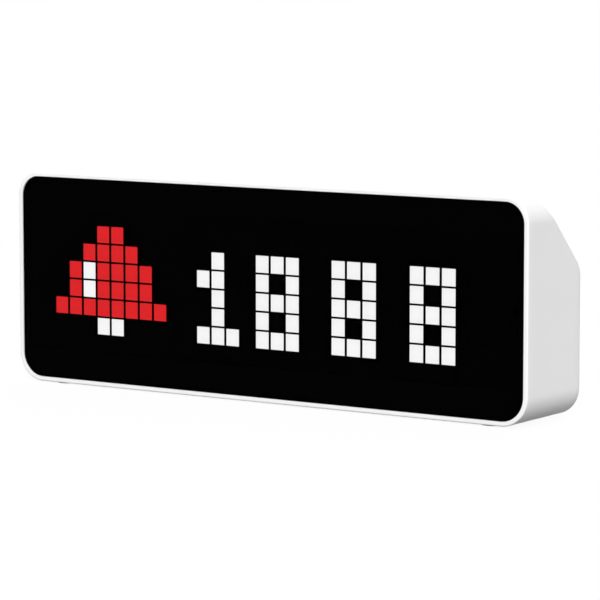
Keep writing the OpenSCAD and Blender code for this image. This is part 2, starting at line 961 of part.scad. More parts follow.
// Buzzer with a round sound port towards the back
module buzzer() {
    port_depth = buzzer_h / 4;
    color(chip_black)
        translate([buzzer_at, 0, main_mid_z])
            difference() {
                bar(buzzer_d, main_back_y, main_back_y + buzzer_h);
                bar(sound_d, main_back_y + buzzer_h - port_depth, main_back_y + buzzer_h + cut);
            }
}

// A flat chip on the front of the main board
module chip(x, z) {
    color(chip_black)
        translate([x, 0, z])
            along_depth(main_front_y - chip_t, main_front_y)
                square([chip_l, chip_h], center = true);
}

module clock_chip() {
    chip(ribbon_x + ribbon_w + chip_l, main_mid_z);
}

module charger_chip() {
    chip(power_at, port_z);
}

module serial_chip() {
    chip(usb_at, main_mid_z + chip_h);
}

module climate_sensor() {
    color(steel)
        translate([climate_at, 0, main_mid_z])
            along_depth(main_back_y, main_back_y + climate_t)
                square(climate_side, center = true);
}

// Socket: a metal shell open to the back, with a tongue on a plastic base
module usb_shell() {
    color(steel)
        translate([usb_at, 0, port_z])
            along_depth(main_back_y, usb_mouth_y)
                difference() {
                    pill(usb_w, usb_h);
                    pill(usb_w - 2 * usb_shell_t, usb_h - 2 * usb_shell_t);
                }
}

module usb_tongue() {
    base_clear = 0.02;
    inside = usb_shell_t + base_clear;
    color(chip_black)
        translate([usb_at, 0, port_z]) {
            along_depth(main_back_y, main_back_y + usb_base_l)
                pill(usb_w - 2 * inside, usb_h - 2 * inside);
            along_depth(main_back_y + usb_base_l / 2, usb_mouth_y - usb_tongue_in)
                square([usb_tongue_w, usb_tongue_t], center = true);
        }
}

// A battery cell lying along X, with a raised end contact
module cell(side) {
    color(cell_blue)
        translate([side * cell_x, cell_y, cell_z])
            rotate([0, 90, 0]) {
                cylinder(d = cell_d, h = cell_l - 2 * contact_t, center = true);
                cylinder(d = contact_d, h = cell_l, center = true);
            }
}

module left_cell() {
    cell(-1);
}

module right_cell() {
    cell(1);
}

// Contact plate between the two cells
module cell_link() {
    color(steel)
        rotate([0, 90, 0])
            translate([-cell_z, cell_y, 0])
                cylinder(d = contact_d, h = cell_gap, center = true);
}

// Tray under the cells, with saddles, end walls and two ears
module battery_tray() {
    end_x = tray_half + end_t;
    saddle_shift = cell_l / 3;
    color(black_plastic)
        difference() {
            union() {
                box([-end_x, cell_y - tray_depth / 2, floor_z],
                    [end_x, cell_y + tray_depth / 2, floor_z + tray_t]);
                for (side = [-1, 1]) {
                    for (step = [-1, 1])
                        translate([side * cell_x + step * saddle_shift, 0, 0])
                            saddle(saddle_t);
                    translate([side * (tray_half + end_t / 2), 0, 0])
                        end_wall();
                    translate([side * ear_x, 0, cell_z])
                        along_depth(cell_y, ear_back_y)
                            square([ear_l + end_t, ear_h], center = true);
                }
            }
            tray_places()
                bar(tray_shank_d + 2 * screw_clear, cell_y - cut, ear_back_y + cut);
        }
}

module saddle(t) {
    along_width(t)
        difference() {
            translate([cell_y - tray_depth / 2, floor_z])
                square([tray_depth, tray_t + saddle_h]);
            translate([cell_y, cell_z])
                circle(r = strap_in_r);
        }
}

module end_wall() {
    along_width(end_t)
        translate([cell_y - tray_depth / 2, floor_z])
            square([tray_depth, tray_t + saddle_h]);
}

// Straps over the cells, standing on the tray floor
module battery_straps() {
    color(black_plastic)
        for (side = [-1, 1])
            translate([side * cell_x, 0, 0])
                along_width(strap_w)
                    difference() {
                        strap_shape(strap_in_r + strap_t);
                        strap_shape(strap_in_r);
                    }
}

module strap_shape(r) {
    low = floor_z + tray_t;
    translate([cell_y, cell_z])
        intersection() {
            circle(r = r);
            translate([-r, 0])
                square([2 * r, r]);
        }
    translate([cell_y - r, low])
        square([2 * r, cell_z - low]);
}

module tray_screws() {
    color(steel)
        tray_places()
            translate([0, cell_y - tray_head_t, 0])
                screw(tray_head_d, tray_head_t, tray_shank_d, tray_shank_l);
}

// Battery plug on the main board
module battery_plug() {
    color(white_plastic)
        box([plug_at - plug_w / 2, main_front_y - plug_d, plug_z],
            [plug_at + plug_w / 2, main_front_y, plug_z + plug_h]);
}

// A battery wire: down from the plug, over the cell, down past its end and in to its contact
module wire(side) {
    touch = 0.05;
    start_x = plug_at + side * wire_pitch / 2;
    drop_x = side * wire_drop_x;
    points = [[start_x, wire_y, plug_z], [start_x, wire_y, wire_run_z], [drop_x, wire_y, wire_run_z],
        [drop_x, wire_y, cell_z], [side * (end_face_x + touch), wire_y, cell_z]];
    for (step = [0:len(points) - 2])
        rod(points[step], points[step + 1]);
    for (step = [1:len(points) - 2])
        translate(points[step])
            sphere(d = wire_d);
}

// A straight piece of wire between two points on one axis
module rod(from, to) {
    span = to - from;
    l = norm(span);
    translate(from)
        rotate([0, acos(span[2] / l), atan2(span[1], span[0])])
            cylinder(d = wire_d, h = l);
}

module red_wire() {
    color(lit_red)
        wire(1);
}

module black_wire() {
    color(chip_black)
        wire(-1);
}

// Ribbon between the two boards: an arch with its ends in two sockets
module display_ribbon() {
    color(lit_white)
        translate([ribbon_x, 0, 0])
            along_width(ribbon_w)
                difference() {
                    arch((ribbon_y2 - ribbon_y1 + ribbon_t) / 2, ribbon_top_z - ribbon_in);
                    arch((ribbon_y2 - ribbon_y1 - ribbon_t) / 2, ribbon_top_z - ribbon_in - cut);
                }
}

module arch(r, low) {
    mid_y = (ribbon_y1 + ribbon_y2) / 2;
    translate([mid_y, ribbon_top_z + ribbon_rise])
        intersection() {
            circle(r = r);
            translate([-r, 0])
                square([2 * r, r]);
        }
    translate([mid_y - r, low])
        square([2 * r, ribbon_top_z + ribbon_rise - low]);
}

module ribbon_sockets() {
    ribbon_socket(board_back_y, ribbon_y1);
    ribbon_socket(main_front_y - ribbon_socket_d, ribbon_y2);
}

module ribbon_socket(y, slot_y) {
    half = ribbon_w / 2;
    slot = ribbon_t / 2 + ribbon_clear;
    color(chip_black)
        difference() {
            box([ribbon_x - half - ribbon_socket_end, y, ribbon_top_z - ribbon_socket_h],
                [ribbon_x + half + ribbon_socket_end, y + ribbon_socket_d, ribbon_top_z]);
            box([ribbon_x - half - ribbon_clear, slot_y - slot, ribbon_top_z - ribbon_in - ribbon_clear],
                [ribbon_x + half + ribbon_clear, slot_y + slot, ribbon_top_z + cut]);
        }
}

// Round rubber feet in shallow recesses
module feet() {
    color([0.75, 0.75, 0.74])
        foot_places()
            cylinder(d = foot_d, h = foot_t);
}

housing();
front_panel();
panel_tape();
light_grid();
unlit_windows();
white_windows();
red_windows();
led_board();
matrix_leds();
light_sensor();
display_screws();
left_button();
select_button();
right_button();
left_plunger();
select_plunger();
right_plunger();
button_switches();
power_button();
power_plunger();
power_switch();
main_board();
main_screws();
radio_module();
radio_shield();
buzzer();
clock_chip();
charger_chip();
serial_chip();
climate_sensor();
usb_shell();
usb_tongue();
left_cell();
right_cell();
cell_link();
battery_tray();
battery_straps();
tray_screws();
battery_plug();
red_wire();
black_wire();
display_ribbon();
ribbon_sockets();
feet();
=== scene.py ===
import math
import bpy
import numpy as np
from mathutils import Matrix, Vector


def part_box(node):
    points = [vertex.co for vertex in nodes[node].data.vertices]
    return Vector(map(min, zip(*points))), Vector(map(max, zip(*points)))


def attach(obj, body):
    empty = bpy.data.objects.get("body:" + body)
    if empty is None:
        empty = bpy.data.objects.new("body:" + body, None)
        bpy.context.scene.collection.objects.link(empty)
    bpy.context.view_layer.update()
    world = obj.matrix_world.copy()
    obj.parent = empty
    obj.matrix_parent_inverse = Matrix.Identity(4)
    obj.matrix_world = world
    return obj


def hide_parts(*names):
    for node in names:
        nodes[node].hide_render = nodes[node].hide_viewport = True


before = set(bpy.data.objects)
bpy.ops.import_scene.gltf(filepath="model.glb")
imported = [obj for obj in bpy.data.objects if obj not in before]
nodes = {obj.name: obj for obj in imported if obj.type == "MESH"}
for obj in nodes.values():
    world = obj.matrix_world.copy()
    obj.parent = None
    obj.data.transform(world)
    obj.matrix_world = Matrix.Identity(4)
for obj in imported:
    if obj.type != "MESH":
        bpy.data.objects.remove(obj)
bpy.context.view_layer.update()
millimetre = 0.001  # in metres: shapes are worked out in millimetres
joinGrid = 1e4  # points on the same step of this grid are joined, in steps to the millimetre
sharpAngle = math.radians(32)  # edges that turn further than this stay sharp
roundSteps = 6  # steps of a small rounded corner
print("frame loaded:", len(nodes), "nodes")


# a node's lowest and highest corners at rest, in millimetres
def nodeBox(node):
    return [np.array(corner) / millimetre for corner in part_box(node)]


def nodeMiddle(node):
    return sum(nodeBox(node)) / 2


# inner points of a stretch that is cut into equal steps
def between(start, end, steps):
    return np.linspace(start, end, steps + 1)[1:-1]


# places of equal pitch about zero
def centredRow(count, pitch):
    return (np.arange(count) - (count - 1) / 2) * pitch


# angles of a whole turn in equal steps
def fullTurn(steps):
    return np.linspace(0, 2 * math.pi, steps, endpoint=False)


def unit(vectors):
    return vectors / np.linalg.norm(vectors, axis=-1, keepdims=True)


# quarter circle of an eased edge, t from 0 to 90 degrees: inward r (1 - sin t), depth r (1 - cos t)
def easedEdge(radius, steps):
    turn = np.linspace(0, math.pi / 2, steps + 1)
    return list(zip(radius * (1 - np.sin(turn)), radius * (1 - np.cos(turn))))


# sections of an end that narrows: each of its steps is a drop below the end and a share of the outline
def narrowedEnd(end, steps):
    return [(end - drop, share) for drop, share in steps]


# quads between neighbouring rings of points, and from the last ring to the first where they make a tube
def ringQuads(count, size, tube=False):
    ring, point = np.meshgrid(np.arange(count if tube else count - 1), np.arange(size), indexing="ij")
    here, there, beside = ring * size, (ring + 1) % count * size, (point + 1) % size
    corners = [here + point, there + point, there + beside, here + beside]
    return np.stack(corners, -1).reshape(-1, 4)


# joins coincident points, makes triangles of quads with a doubled corner, and turns the shell outwards:
# the sum of p0 . (p1 x p2) over its triangles is six times its volume and has to be positive
def closedShell(points, quads):
    key = np.round(points * joinGrid).astype(np.int64)
    _, first, same = np.unique(key, axis=0, return_index=True, return_inverse=True)
    points, quads = points[first], same.reshape(-1)[quads]
    a, b, c, d = quads.T
    doubled = (a == b).astype(int) + (b == c) + (c == d) + (d == a)
    folded = (a == c) | (b == d)
    whole, short = quads[(doubled == 0) & ~folded], quads[(doubled == 1) & ~folded]
    a, b, c, d = short.T
    short = np.stack([a, np.where(a == b, c, b), np.where((c == d) | (d == a), c, d)], -1)
    p0, p1, p2 = points[np.concatenate([whole[:, [0, 1, 2]], whole[:, [0, 2, 3]], short]).T]
    if np.sum(p0 * np.cross(p1, p2)) < 0:
        whole, short = whole[:, ::-1], short[:, ::-1]
    return points, whole, short


# skin over a stack of closed rings
def ringSkin(rings, tube=False):
    return closedShell(rings.reshape(-1, 3), ringQuads(*rings.shape[:2], tube))


def smoothMesh(mesh):
    mesh.shade_smooth()
    mesh.set_sharp_from_angle(angle=sharpAngle)


# one mesh object out of several shells
def makeMesh(name, shells):
    start, points, faces = 0, [], []
    for shellPoints, quads, triangles in shells:
        points.append(shellPoints)
        faces += (quads + start).tolist() + (triangles + start).tolist()
        start += len(shellPoints)
    mesh = bpy.data.meshes.new(name)
    mesh.from_pydata((np.concatenate(points) * millimetre).tolist(), [], faces)
    mesh.update()
    smoothMesh(mesh)
    piece = bpy.data.objects.new(name, mesh)
    bpy.context.scene.collection.objects.link(piece)
    return piece


# takes the cutter out of a piece and keeps the result as a plain mesh
def cutOut(piece, cutter):
    cut = piece.modifiers.new("openings", "BOOLEAN")
    cut.operation, cut.solver, cut.object = "DIFFERENCE", "EXACT", cutter
    held = piece.evaluated_get(bpy.context.evaluated_depsgraph_get())
    plain = bpy.data.meshes.new_from_object(held)
    piece.modifiers.clear()
    old = piece.data
    piece.data = plain
    bpy.data.meshes.remove(old)
    bpy.data.objects.remove(cutter)
    plain.name = piece.name
    smoothMesh(plain)


# local a, b and depth to x, y and z: a and b count from a middle, depth from the frame's origin
# back: a across, b up; backUpright: a up, b across; top: a across, b towards the back
def facing(points, way, middle):
    order = dict(back=[0, 2, 1], backUpright=[1, 2, 0], top=[0, 1, 2])[way]
    return points[..., order] + np.where(np.equal(order, 2), 0.0, middle)


# slot outline at a depth: two half circles of radius width / 2 whose centres lie length - width apart
def pillRing(depth, length, width, steps):
    turn = np.linspace(-math.pi / 2, math.pi / 2, steps + 1)
    half, radius = (length - width) / 2, width / 2
    a = np.concatenate([half + radius * np.cos(turn), -half - radius * np.cos(turn)])
    b = np.concatenate([radius * np.sin(turn), -radius * np.sin(turn)])
    return np.stack([a, b, np.full_like(a, depth)], -1)


# slot outline carried along depth: each section is (depth, length, width), closed at its middle line
def pillBar(sections, steps, way, middle):
    first, last = [(depth, length - width, 0.0) for depth, length, width in (sections[0], sections[-1])]
    rings = np.stack([pillRing(*section, steps) for section in (first, *sections, last)])
    return ringSkin(facing(rings, way, middle))


# profile of (radius, depth) turned round an axis: r cos t, r sin t, depth
def turnedBar(profile, steps, way, middle):
    radius, depth = np.array(profile).T[:, :, None]
    turn = fullTurn(steps)
    rings = np.stack([radius * np.cos(turn), radius * np.sin(turn), depth + 0 * turn], -1)
    return ringSkin(facing(rings, way, middle))


# flat outline carried along depth: each section is (depth, share of the outline), closed at its centre
def outlineBar(loop, sections, way, middle):
    centre = loop.mean(0)
    sections = [(sections[0][0], 0.0), *sections, (sections[-1][0], 0.0)]
    rings = [np.insert(centre + (loop - centre) * share, 2, depth, axis=1) for depth, share in sections]
    return ringSkin(facing(np.stack(rings), way, middle))


# corners of a plate about its middle
def plateCorners(wide, high):
    return np.array([(-wide, -high), (wide, -high), (wide, high), (-wide, high)]) / 2


# corners of a flat outline rounded by arcs that touch both sides: an arc's centre lies r / sin(half angle)
# in from its corner, and its ends r / tan(half angle) along the sides
def roundedCorners(corners, radius):
    before, after = unit(np.roll(corners, 1, 0) - corners), unit(np.roll(corners, -1, 0) - corners)
    halfAngle = np.arccos(np.clip((before * after).sum(1), -1, 1))[:, None] / 2
    inward, reach = radius / np.sin(halfAngle), radius / np.tan(halfAngle)
    centre = corners + unit(before + after) * inward
    first, last = corners + before * reach - centre, corners + after * reach - centre
    share = np.linspace(0, 1, roundSteps + 1)[None, :, None]
    arc = radius * unit(first[:, None] * (1 - share) + last[:, None] * share)
    return (centre[:, None] + arc).reshape(-1, 2)


# new material with its node tree and its shader
def newFinish(name):
    material = bpy.data.materials.new(name)
    material.use_nodes = True
    tree = material.node_tree
    return material, tree, tree.nodes["Principled BSDF"]


# new node: a value goes to the input of that name, or else to the node's own setting
def addNode(tree, kind, **values):
    node = tree.nodes.new(kind)
    for key, value in values.items():
        if key in node.inputs:
            node.inputs[key].default_value = value
        else:
            setattr(node, key, value)
    return node


# the piece's own coordinates
def objectPlace(tree):
    return addNode(tree, "ShaderNodeTexCoord").outputs["Object"]


# chain of Math nodes: each step is an operation and its further numbers
def mathChain(tree, value, steps):
    for operation, *numbers in steps:
        node = addNode(tree, "ShaderNodeMath", operation=operation)
        tree.links.new(value, node.inputs[0])
        for place, number in enumerate(numbers, 1):
            node.inputs[place].default_value = number
        value = node.outputs[0]
    return value


# Math node of two values
def mathPair(tree, operation, first, second):
    node = addNode(tree, "ShaderNodeMath", operation=operation)
    tree.links.new(first, node.inputs[0])
    tree.links.new(second, node.inputs[1])
    return node.outputs[0]


# noise: its roughness, and which of its values give the low and the high end of a shade or a number
noise = dict(rough=0.55, span=(0.3, 0.7))


# noise in the piece's own coordinates, in waves to the metre
def grainNode(tree, waves, detail, stretch=None):
    place = objectPlace(tree)
    if stretch:
        mapping = addNode(tree, "ShaderNodeMapping", Scale=stretch)
        tree.links.new(place, mapping.inputs["Vector"])
        place = mapping.outputs["Vector"]
    grain = addNode(tree, "ShaderNodeTexNoise", Scale=waves, Detail=detail, Roughness=noise["rough"])
    tree.links.new(place, grain.inputs["Vector"])
    return grain.outputs["Fac"]


# colour between two shades
def shadeRamp(tree, value, low, high, socket, span=noise["span"]):
    ramp = addNode(tree, "ShaderNodeValToRGB")
    for stop, position, shade in zip(ramp.color_ramp.elements, span, (low, high)):
        stop.position, stop.color = position, (*shade, 1)
    tree.links.new(value, ramp.inputs["Fac"])
    tree.links.new(ramp.outputs["Color"], socket)


# number between two limits
def valueRange(tree, value, limits, socket):
    ends = dict(zip(("From Min", "From Max", "To Min", "To Max"), (*noise["span"], *limits)))
    spread = addNode(tree, "ShaderNodeMapRange", **ends)
    tree.links.new(value, spread.inputs["Value"])
    tree.links.new(spread.outputs["Result"], socket)


# relief of a height in millimetres
def bumpFrom(tree, value, height, strength, shader):
    bump = addNode(tree, "ShaderNodeBump", Strength=strength, Distance=height * millimetre)
    tree.links.new(value, bump.inputs["Height"])
    tree.links.new(bump.outputs["Normal"], shader.inputs["Normal"])


def grey(level):
    return 3 * (level,)


def dimmed(colour, share):
    return tuple(share * level for level in colour)


# moulded, printed and metal finishes: the colour between low and high follows the tone noise, the roughness
# between its limits follows the gloss noise, and the relief follows the grain noise
# tone, gloss and grain are waves to the metre and detail, and height is the relief's in millimetres
plainSpecs = dict(
    whiteSatinPlastic=dict(low=(0.855, 0.857, 0.858), high=(0.875, 0.875, 0.872), tone=(45, 3),
                           rough=(0.42, 0.52), gloss=(90, 4), grain=(2600, 2), height=0.012, strength=0.6,
                           shine=0.35),
    unlitWindowSmoke=dict(low=grey(0.004), high=grey(0.006), tone=(600, 4), rough=(0.5, 0.65),
                          gloss=(1380, 3), grain=(1500, 3), height=0.01, shine=0.1),
    blackMatrixPlastic=dict(low=(0.004, 0.004, 0.0042), high=(0.006, 0.006, 0.0062), tone=(300, 4),
                            rough=(0.6, 0.75), gloss=(690, 3), grain=(2200, 3), height=0.01, shine=0.1),
    maskInk=dict(low=(0.0022, 0.0022, 0.0023), high=(0.0032, 0.0032, 0.0033), tone=(500, 4),
                 rough=(0.6, 0.75), gloss=(1150, 3), grain=(1600, 3), height=0.002, shine=0.0),
    footRubber=dict(low=grey(0.30), high=(0.38, 0.38, 0.375), tone=(500, 4), rough=(0.72, 0.86),
                    gloss=(1150, 3), grain=(1800, 3), height=0.03),
    ledPackage=dict(low=(0.62, 0.60, 0.50), high=(0.74, 0.72, 0.62), tone=(900, 4), rough=(0.3, 0.42),
                    gloss=(2070, 3), grain=(1800, 3), height=0.01, coat=0.3),
    chipMoulding=dict(low=(0.018, 0.018, 0.02), high=(0.03, 0.03, 0.032), tone=(1300, 4), rough=(0.55, 0.7),
                      gloss=(2990, 3), grain=(3200, 3), height=0.01),
    cellWrapFilm=dict(low=(0.02, 0.13, 0.34), high=(0.03, 0.17, 0.42), tone=(40, 4), rough=(0.2, 0.32),
                      gloss=(92, 3), grain=(120, 3), height=0.12, coat=0.4, stretch=(0.3, 1, 1)),
    redLeadSleeve=dict(low=(0.42, 0.015, 0.015), high=(0.55, 0.025, 0.022), tone=(300, 4),
                       rough=(0.3, 0.42), gloss=(690, 3), grain=(900, 3), height=0.02),
    brightSteel=dict(low=(0.52, 0.52, 0.53), high=(0.66, 0.66, 0.67), tone=(260, 4), rough=(0.22, 0.36),
                     gloss=(598, 3), grain=(900, 3), height=0.006, metal=1.0, stretch=(1, 14, 14)),
    blackedSteel=dict(low=(0.012, 0.012, 0.013), high=(0.022, 0.022, 0.023), tone=(400, 4),
                      rough=(0.4, 0.55), gloss=(920, 3), grain=(1200, 3), height=0.006, metal=1.0),
    contactGold=dict(low=(0.62, 0.42, 0.14), high=(0.74, 0.52, 0.20), tone=(800, 4), rough=(0.2, 0.34),
                     gloss=(1840, 3), grain=(2000, 3), height=0.004, metal=1.0),
)


def plainFinish(name, low, high, tone, rough, gloss, grain, height, strength=0.7, metal=0.0, coat=0.0,
                shine=0.5, stretch=None):
    material, tree, shader = newFinish(name)
    shadeRamp(tree, grainNode(tree, *tone, stretch), low, high, shader.inputs["Base Color"])
    valueRange(tree, grainNode(tree, *gloss, stretch), rough, shader.inputs["Roughness"])
    bumpFrom(tree, grainNode(tree, *grain, stretch), height, strength, shader)
    shader.inputs["Metallic"].default_value = metal
    shader.inputs["Coat Weight"].default_value = coat
    shader.inputs["Specular IOR Level"].default_value = shine
    return material


# smoked acrylic: see-through with a dark tint, almost no mirror
smokeSpec = dict(tint=grey(0.15), fade=0.97, tone=(30, 3), haze=(0.01, 0.025), gloss=(240, 5), bend=1.04)


def smokedPanelFinish(name):
    material, tree, shader = newFinish(name)
    tint = smokeSpec["tint"]
    tone, gloss = grainNode(tree, *smokeSpec["tone"]), grainNode(tree, *smokeSpec["gloss"])
    shadeRamp(tree, tone, dimmed(tint, smokeSpec["fade"]), tint, shader.inputs["Base Color"])
    valueRange(tree, gloss, smokeSpec["haze"], shader.inputs["Roughness"])
    shader.inputs["Transmission Weight"].default_value = 1.0
    shader.inputs["IOR"].default_value = smokeSpec["bend"]
    return material


# lit pixel windows: brightest over the LED, dimmer towards the cell walls
# with u, w the place in a cell from -1 to 1, light = 1 - fall min(u^2 + w^2, 1)
# axes are an axis, its number, its count of cells and the gap between its windows
matrixSpec = dict(axes=(("X", 0, 32, 0.95), ("Z", 2, 8, 0.7)), fall=0.06, strength=6.26, fade=0.9,
                  tone=(900, 3), rough=(0.45, 0.6), gloss=(1500, 3))
litSpecs = dict(whiteWindowLit=dict(light=grey(1.0), body=grey(0.08)),
                redWindowLit=dict(light=(0.776, 0.0208, 0.0245), body=(0.05, 0.008, 0.008)))


def litWindowFinish(name, light, body):
    material, tree, shader = newFinish(name)
    place = addNode(tree, "ShaderNodeSeparateXYZ")
    tree.links.new(objectPlace(tree), place.inputs["Vector"])
    low, high = nodeBox("unlit_windows")
    squares = []
    for axis, number, count, gap in matrixSpec["axes"]:
        start, pitch = low[number] - gap / 2, (high[number] - low[number] + gap) / count
        squares.append(mathChain(tree, place.outputs[axis], [
            ("SUBTRACT", start * millimetre), ("DIVIDE", pitch * millimetre), ("FRACT",),
            ("MULTIPLY_ADD", 2.0, -1.0), ("ABSOLUTE",), ("POWER", 2.0)]))
    away, dim = mathPair(tree, "ADD", *squares), dimmed(light, 1 - matrixSpec["fall"])
    shadeRamp(tree, away, light, dim, shader.inputs["Emission Color"], (0.0, 1.0))
    shader.inputs["Emission Strength"].default_value = matrixSpec["strength"]
    tone, gloss = grainNode(tree, *matrixSpec["tone"]), grainNode(tree, *matrixSpec["gloss"])
    shadeRamp(tree, tone, dimmed(body, matrixSpec["fade"]), body, shader.inputs["Base Color"])
    valueRange(tree, gloss, matrixSpec["rough"], shader.inputs["Roughness"])
    return material


# printed board: solder mask over fine copper lines, a brick pattern of tracks seen through the mask
tracks = dict(offset=0.37, squash=1.6, every=3, line=0.012, length=1.7, height=0.32, fade=0.86,
              rough=(0.28, 0.4), gloss=(700, 3), relief=0.03, strength=0.6)
boardSpecs = dict(matrixBoardMask=dict(mask=(0.012, 0.012, 0.013), copper=(0.03, 0.03, 0.028), scale=60),
                  mainBoardMask=dict(mask=(0.012, 0.10, 0.045), copper=(0.05, 0.20, 0.09), scale=120))


def boardFinish(name, mask, copper, scale):
    material, tree, shader = newFinish(name)
    upright = addNode(tree, "ShaderNodeMapping", Rotation=(math.pi / 2, 0, 0))
    tree.links.new(objectPlace(tree), upright.inputs["Vector"])
    pattern = addNode(tree, "ShaderNodeTexBrick", offset=tracks["offset"], squash=tracks["squash"],
                      squash_frequency=tracks["every"], Scale=scale, Color1=(*mask, 1), Mortar=(*copper, 1))
    pattern.inputs["Color2"].default_value = (*dimmed(mask, tracks["fade"]), 1)
    for key, size in (("Mortar Size", "line"), ("Brick Width", "length"), ("Row Height", "height")):
        pattern.inputs[key].default_value = tracks[size]
    tree.links.new(upright.outputs["Vector"], pattern.inputs["Vector"])
    tree.links.new(pattern.outputs["Color"], shader.inputs["Base Color"])
    valueRange(tree, grainNode(tree, *tracks["gloss"]), tracks["rough"], shader.inputs["Roughness"])
    bumpFrom(tree, pattern.outputs["Fac"], tracks["relief"], tracks["strength"], shader)
    return material


# ribbon cable: fine ridges across its width, with painted shade: the colour is darker in the grooves and
# paler on the ridges, following the relief
ribbon = dict(low=(0.62, 0.62, 0.60), high=(0.80, 0.80, 0.78), span=(0.2, 0.8), ridges=250.0,
              rough=(0.35, 0.5), gloss=(400, 3), height=0.08, strength=0.8)


def ribbonFinish(name):
    material, tree, shader = newFinish(name)
    wave = addNode(tree, "ShaderNodeTexWave", Scale=ribbon["ridges"], Distortion=0.0, bands_direction="X")
    tree.links.new(objectPlace(tree), wave.inputs["Vector"])
    ridges = wave.outputs["Fac"]
    # painted shade: the same wave as the relief darkens the colour in the grooves and lightens it on the
    # ridges
    shadeRamp(tree, ridges, ribbon["low"], ribbon["high"], shader.inputs["Base Color"], ribbon["span"])
    valueRange(tree, grainNode(tree, *ribbon["gloss"]), ribbon["rough"], shader.inputs["Roughness"])
    bumpFrom(tree, ridges, ribbon["height"], ribbon["strength"], shader)
    return material


finishes = {name: plainFinish(name, **spec) for name, spec in plainSpecs.items()}
finishes |= {name: litWindowFinish(name, **spec) for name, spec in litSpecs.items()}
finishes |= {name: boardFinish(name, **spec) for name, spec in boardSpecs.items()}
finishes["smokedAcrylic"] = smokedPanelFinish("smokedAcrylic")
finishes["ribbonFilm"] = ribbonFinish("ribbonFilm")
print("materials made:", len(finishes))


# gives a finished piece its material and body, and hides the nodes that it stands for
def finishPiece(piece, finish, body, replaced=()):
    piece.data.materials.clear()
    piece.data.materials.append(finishes[finish])
    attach(piece, body)
    if replaced:
        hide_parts(*replaced)


# case: rounded front outline, flat top, slanted wall that bends into an upright back
# corners and rearCorners are the radii of the lower and upper corners, draft is how far the underside rises
# towards the rear, rimRound and rearRound are the radii of the rim's and the rear's outer edges,
# rimEdge is the chamfer inside the rim, and the shares say where rings of points lie along the cavity,
# along the outside and on the rear edge's arc
case = dict(corners=(9.5, 8.3), rearCorners=(8.9, 8.3), draft=0.4, wall=1.5, backWall=1.8, topDepth=8.0,
            slant=45.0, bend=7.0, rimRound=0.5, rimEdge=0.06, rearRound=0.2, rimSteps=6, bendSteps=10,
            cornerSteps=20, lowerSteps=15, upperSteps=7, columns=48, cavityShares=(1.0, 0.6, 0.2),
            sideShares=(0.08, 0.25, 0.5, 0.75, 0.92), edgeShares=(0.0, 0.25, 0.5, 0.75, 1.0))

frontY, baseZ = nodeBox("housing")[0][1:]
halfWidth, backY, topZ = nodeBox("housing")[1]
slant = math.radians(case["slant"])


# depth at which the slanted line leaves the top, moved in by the walls
def slantStart(topIn, backIn):
    return frontY + case["topDepth"] - backIn / math.sin(slant) + topIn / math.tan(slant)


# radius of the bend and height of its centre, moved in by the walls
def bendCircle(topIn, backIn):
    radius = case["bend"] - backIn
    corner = topZ - topIn - (backY - backIn - slantStart(topIn, backIn)) * math.tan(slant)
    return radius, corner - radius * math.tan((math.pi / 2 - slant) / 2)


# heights at which the bend is cut, in equal turns
def bendHeights(topIn, backIn):
    radius, centre = bendCircle(topIn, backIn)
    return centre + radius * np.sin(np.linspace(0, math.pi / 2 - slant, case["bendSteps"] + 1))


# depth of the rear at a height: upright, then back - r + sqrt(r^2 - (z - centre)^2), then the slanted line
def rearDepth(z, topIn, backIn):
    radius, centre = bendCircle(topIn, backIn)
    over = np.clip(z - centre, 0, radius)
    bent = backY - backIn - radius + np.sqrt(radius ** 2 - over ** 2)
    sloped = slantStart(topIn, backIn) + (topZ - topIn - z) / math.tan(slant)
    return np.where(over >= radius * math.cos(slant), sloped, bent)


# tilt of the outer rear at a height: 0 where it is upright, 90 degrees less the slant on the slanted wall
def rearTilt(z):
    radius, centre = bendCircle(0, 0)
    return np.arcsin(np.clip((z - centre) / radius, 0, math.cos(slant)))


# right edge of the front outline from the bottom line to the top line: corner arc, upright, corner arc
def outlineSide(inset, cuts, corners, rise):
    wide, low, high = halfWidth - inset, baseZ + inset + rise, topZ - inset
    lowRadius, highRadius = corners[0] - inset, corners[1] - inset
    turn = np.linspace(0, math.pi / 2, case["cornerSteps"] + 1)
    bySine, byCosine = 1 - np.sin(turn), 1 - np.cos(turn)
    upright = np.concatenate([between(low + lowRadius, cuts[0], case["lowerSteps"]), cuts,
                              between(cuts[-1], high - highRadius, case["upperSteps"])])
    angle = np.concatenate([turn - math.pi / 2, 0 * upright, turn])
    x = wide - np.concatenate([lowRadius * bySine, 0 * upright, highRadius * byCosine])
    z = np.concatenate([low + lowRadius * byCosine, upright, high - highRadius * bySine])
    return x, z, angle


# whole front outline: right edge up, top line, left edge down, bottom line, with its outward direction
def outlineLoop(inset, cuts, corners, rise):
    x, z, angle = outlineSide(inset, cuts, corners, rise)
    share = between(-1, 1, case["columns"])
    loopX = np.concatenate([x, -share * x[-1], -x[::-1], share * x[0]])
    loopZ = np.concatenate([z, 0 * share + z[-1], z[::-1], 0 * share + z[0]])
    outX = np.concatenate([np.cos(angle), 0 * share, -np.cos(angle)[::-1], 0 * share])
    outZ = np.concatenate([np.sin(angle), 0 * share + 1, np.sin(angle)[::-1], 0 * share - 1])
    return loopX, loopZ, outX, outZ


# the front outline at an inset and a depth, as a ring of points
def outlineRing(inset, depth, cuts):
    x, z = outlineLoop(inset, cuts, case["corners"], 0)[:2]
    return np.stack([x, depth + 0 * x, z], -1)


